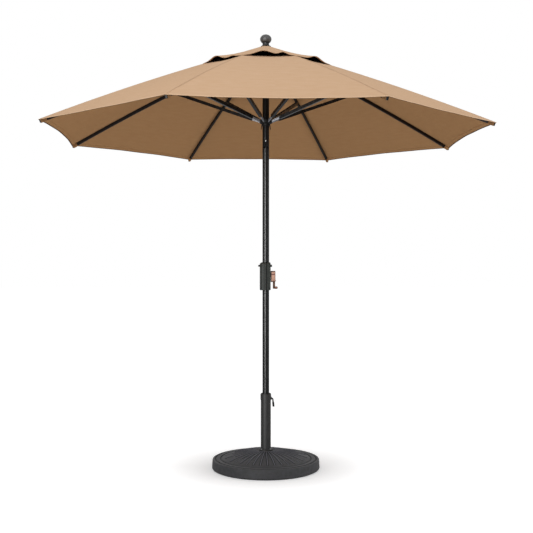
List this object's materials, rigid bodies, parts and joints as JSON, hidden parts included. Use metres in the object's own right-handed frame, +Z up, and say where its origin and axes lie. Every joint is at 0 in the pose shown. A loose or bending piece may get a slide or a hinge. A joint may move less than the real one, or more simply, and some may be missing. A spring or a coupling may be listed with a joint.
{
  "type": "patio umbrella with base",
  "caption": "Round market umbrella with folding ribs, wind vent, crank, push-button tilt and a round weighted stand.",
  "frame": {"origin": "on the floor, under the middle of the stand", "axes": "+Z up along the pole, +X towards the crank, -Y towards the front and the tilt button"},
  "size_m": [2.3466, 2.3466, 2.456],
  "materials": {
    "base_resin": "matte",
    "foot_rubber": "matte",
    "stand_paint": "satin",
    "black_plastic": "satin",
    "housing_plastic": "satin",
    "pole_paint": "gloss",
    "black_steel": "satin",
    "bright_steel": "polished",
    "crank_copper": "satin",
    "canopy_fabric": "matte"
  },
  "bodies": {
    "stand": {"base_weight": "base_resin", "base_foot_ring": "foot_rubber", "stem_tube": "stand_paint", "flange_screws": "bright_steel", "stem_collar": "black_plastic"},
    "clamp_screw": {"clamp_screw": "black_steel"},
    "pole_bushing": {"pole_bushing": "black_plastic"},
    "lower_pole": {"lower_pole": "pole_paint", "crank_housing_left": "housing_plastic", "crank_housing_right": "housing_plastic", "housing_bolts": "bright_steel", "crank_bushing": "black_plastic", "tilt_socket": "black_steel"},
    "crank": {"cord_spool": "black_steel", "crank_handle": "crank_copper"},
    "crank_grip": {"crank_grip": "crank_copper"},
    "upper_pole": {"upper_pole": "pole_paint", "tilt_fork": "black_steel", "tilt_pin": "bright_steel", "top_hub": "black_plastic", "hub_pins": "bright_steel", "pulley_pin": "bright_steel", "finial": "black_plastic"},
    "cord_pulley": {"cord_pulley": "black_plastic"},
    "tilt_button": {"tilt_button": "bright_steel"},
    "runner": {"runner": "black_plastic", "runner_pins": "bright_steel"},
    "rib_1": {"rib_1": "pole_paint", "rib_end_1": "black_plastic", "canopy_gore_1": "canopy_fabric"},
    "strut_1": {"strut_1": "pole_paint"},
    "rib_2": {"rib_2": "pole_paint", "rib_end_2": "black_plastic", "canopy_gore_2": "canopy_fabric"},
    "strut_2": {"strut_2": "pole_paint"},
    "rib_3": {"rib_3": "pole_paint", "rib_end_3": "black_plastic", "canopy_gore_3": "canopy_fabric"},
    "strut_3": {"strut_3": "pole_paint"},
    "rib_4": {"rib_4": "pole_paint", "rib_end_4": "black_plastic", "canopy_gore_4": "canopy_fabric"},
    "strut_4": {"strut_4": "pole_paint"},
    "rib_5": {"rib_5": "pole_paint", "rib_end_5": "black_plastic", "canopy_gore_5": "canopy_fabric"},
    "strut_5": {"strut_5": "pole_paint"},
    "rib_6": {"rib_6": "pole_paint", "rib_end_6": "black_plastic", "canopy_gore_6": "canopy_fabric"},
    "strut_6": {"strut_6": "pole_paint"},
    "rib_7": {"rib_7": "pole_paint", "rib_end_7": "black_plastic", "canopy_gore_7": "canopy_fabric"},
    "strut_7": {"strut_7": "pole_paint"},
    "rib_8": {"rib_8": "pole_paint", "rib_end_8": "black_plastic", "canopy_gore_8": "canopy_fabric"},
    "strut_8": {"strut_8": "pole_paint"}
  },
  "joints": [
    {"name": "clamp_screw_turn", "type": "hinge", "parent": "stand", "child": "clamp_screw", "pos_m": [0.034, 0, 0.396], "axis": [1, 0, 0], "range_deg": [0, 540]},
    {"name": "pole_turn", "type": "hinge", "parent": "stand", "child": "pole_bushing", "pos_m": [0, 0, 0.41], "axis": [0, 0, 1], "continuous": true},
    {"name": "pole_lift", "type": "slide", "parent": "pole_bushing", "child": "lower_pole", "axis": [0, 0, 1], "range_m": [0, 0.3]},
    {"name": "tilt", "type": "hinge", "parent": "lower_pole", "child": "upper_pole", "pos_m": [0, 0, 1.83], "axis": [-1, 0, 0], "range_deg": [-30, 0]},
    {"name": "tilt_button_press", "type": "slide", "parent": "upper_pole", "child": "tilt_button", "axis": [0, 1, 0], "range_m": [0, 0.003], "stiffness_N_per_m": 800, "springref_m": -0.002},
    {"name": "canopy_fold", "type": "hinge", "parent": "upper_pole", "child": "rib_1", "pos_m": [0.02772, 0.01148, 2.366], "axis": [-0.3827, 0.9239, 0], "range_deg": [0, 61.6], "deforming": ["canopy_gore_1"]},
    {"name": "rib_2_fold", "type": "hinge", "parent": "upper_pole", "child": "rib_2", "pos_m": [0.01148, 0.02772, 2.366], "axis": [-0.9239, 0.3827, 0], "range_deg": [0, 61.6], "deforming": ["canopy_gore_2"]},
    {"name": "rib_3_fold", "type": "hinge", "parent": "upper_pole", "child": "rib_3", "pos_m": [-0.01148, 0.02772, 2.366], "axis": [-0.9239, -0.3827, 0], "range_deg": [0, 61.6], "deforming": ["canopy_gore_3"]},
    {"name": "rib_4_fold", "type": "hinge", "parent": "upper_pole", "child": "rib_4", "pos_m": [-0.02772, 0.01148, 2.366], "axis": [-0.3827, -0.9239, 0], "range_deg": [0, 61.6], "deforming": ["canopy_gore_4"]},
    {"name": "rib_5_fold", "type": "hinge", "parent": "upper_pole", "child": "rib_5", "pos_m": [-0.02772, -0.01148, 2.366], "axis": [0.3827, -0.9239, 0], "range_deg": [0, 61.6], "deforming": ["canopy_gore_5"]},
    {"name": "rib_6_fold", "type": "hinge", "parent": "upper_pole", "child": "rib_6", "pos_m": [-0.01148, -0.02772, 2.366], "axis": [0.9239, -0.3827, 0], "range_deg": [0, 61.6], "deforming": ["canopy_gore_6"]},
    {"name": "rib_7_fold", "type": "hinge", "parent": "upper_pole", "child": "rib_7", "pos_m": [0.01148, -0.02772, 2.366], "axis": [0.9239, 0.3827, 0], "range_deg": [0, 61.6], "deforming": ["canopy_gore_7"]},
    {"name": "rib_8_fold", "type": "hinge", "parent": "upper_pole", "child": "rib_8", "pos_m": [0.02772, -0.01148, 2.366], "axis": [0.3827, 0.9239, 0], "range_deg": [0, 61.6], "deforming": ["canopy_gore_8"]},
    {"name": "strut_1_swing", "type": "hinge", "parent": "rib_1", "child": "strut_1", "pos_m": [0.52794, 0.21868, 2.16342], "axis": [-0.3827, 0.9239, 0], "range_deg": [-123.2, 0]},
    {"name": "strut_2_swing", "type": "hinge", "parent": "rib_2", "child": "strut_2", "pos_m": [0.21868, 0.52794, 2.16342], "axis": [-0.9239, 0.3827, 0], "range_deg": [-123.2, 0]},
    {"name": "strut_3_swing", "type": "hinge", "parent": "rib_3", "child": "strut_3", "pos_m": [-0.21868, 0.52794, 2.16342], "axis": [-0.9239, -0.3827, 0], "range_deg": [-123.2, 0]},
    {"name": "strut_4_swing", "type": "hinge", "parent": "rib_4", "child": "strut_4", "pos_m": [-0.52794, 0.21868, 2.16342], "axis": [-0.3827, -0.9239, 0], "range_deg": [-123.2, 0]},
    {"name": "strut_5_swing", "type": "hinge", "parent": "rib_5", "child": "strut_5", "pos_m": [-0.52794, -0.21868, 2.16342], "axis": [0.3827, -0.9239, 0], "range_deg": [-123.2, 0]},
    {"name": "strut_6_swing", "type": "hinge", "parent": "rib_6", "child": "strut_6", "pos_m": [-0.21868, -0.52794, 2.16342], "axis": [0.9239, -0.3827, 0], "range_deg": [-123.2, 0]},
    {"name": "strut_7_swing", "type": "hinge", "parent": "rib_7", "child": "strut_7", "pos_m": [0.21868, -0.52794, 2.16342], "axis": [0.9239, 0.3827, 0], "range_deg": [-123.2, 0]},
    {"name": "strut_8_swing", "type": "hinge", "parent": "rib_8", "child": "strut_8", "pos_m": [0.52794, -0.21868, 2.16342], "axis": [0.3827, 0.9239, 0], "range_deg": [-123.2, 0]},
    {"name": "runner_travel", "type": "hinge", "parent": "strut_1", "child": "runner", "pos_m": [0.02772, 0.01148, 1.96085], "axis": [-0.3827, 0.9239, 0], "range_deg": [0, 61.6]},
    {"name": "crank_turn", "type": "hinge", "parent": "lower_pole", "child": "crank", "pos_m": [0.03, 0, 1.097], "axis": [1, 0, 0], "range_deg": [0, 4039]},
    {"name": "pulley_turn", "type": "hinge", "parent": "upper_pole", "child": "cord_pulley", "pos_m": [0, 0, 2.324], "axis": [1, 0, 0], "range_deg": [0, 4039]},
    {"name": "grip_spin", "type": "hinge", "parent": "crank", "child": "crank_grip", "pos_m": [0.06, 0, 1.022], "axis": [1, 0, 0], "continuous": true}
  ],
  "couplings": [
    {"joint": "rib_2_fold", "follows": "canopy_fold", "ratio": 1},
    {"joint": "rib_3_fold", "follows": "canopy_fold", "ratio": 1},
    {"joint": "rib_4_fold", "follows": "canopy_fold", "ratio": 1},
    {"joint": "rib_5_fold", "follows": "canopy_fold", "ratio": 1},
    {"joint": "rib_6_fold", "follows": "canopy_fold", "ratio": 1},
    {"joint": "rib_7_fold", "follows": "canopy_fold", "ratio": 1},
    {"joint": "rib_8_fold", "follows": "canopy_fold", "ratio": 1},
    {"joint": "strut_1_swing", "follows": "canopy_fold", "ratio": -2},
    {"joint": "strut_2_swing", "follows": "canopy_fold", "ratio": -2},
    {"joint": "strut_3_swing", "follows": "canopy_fold", "ratio": -2},
    {"joint": "strut_4_swing", "follows": "canopy_fold", "ratio": -2},
    {"joint": "strut_5_swing", "follows": "canopy_fold", "ratio": -2},
    {"joint": "strut_6_swing", "follows": "canopy_fold", "ratio": -2},
    {"joint": "strut_7_swing", "follows": "canopy_fold", "ratio": -2},
    {"joint": "strut_8_swing", "follows": "canopy_fold", "ratio": -2},
    {"joint": "runner_travel", "follows": "canopy_fold", "ratio": 1},
    {"joint": "crank_turn", "follows": "canopy_fold", "ratio": 65.56},
    {"joint": "pulley_turn", "follows": "canopy_fold", "ratio": 65.56}
  ]
}
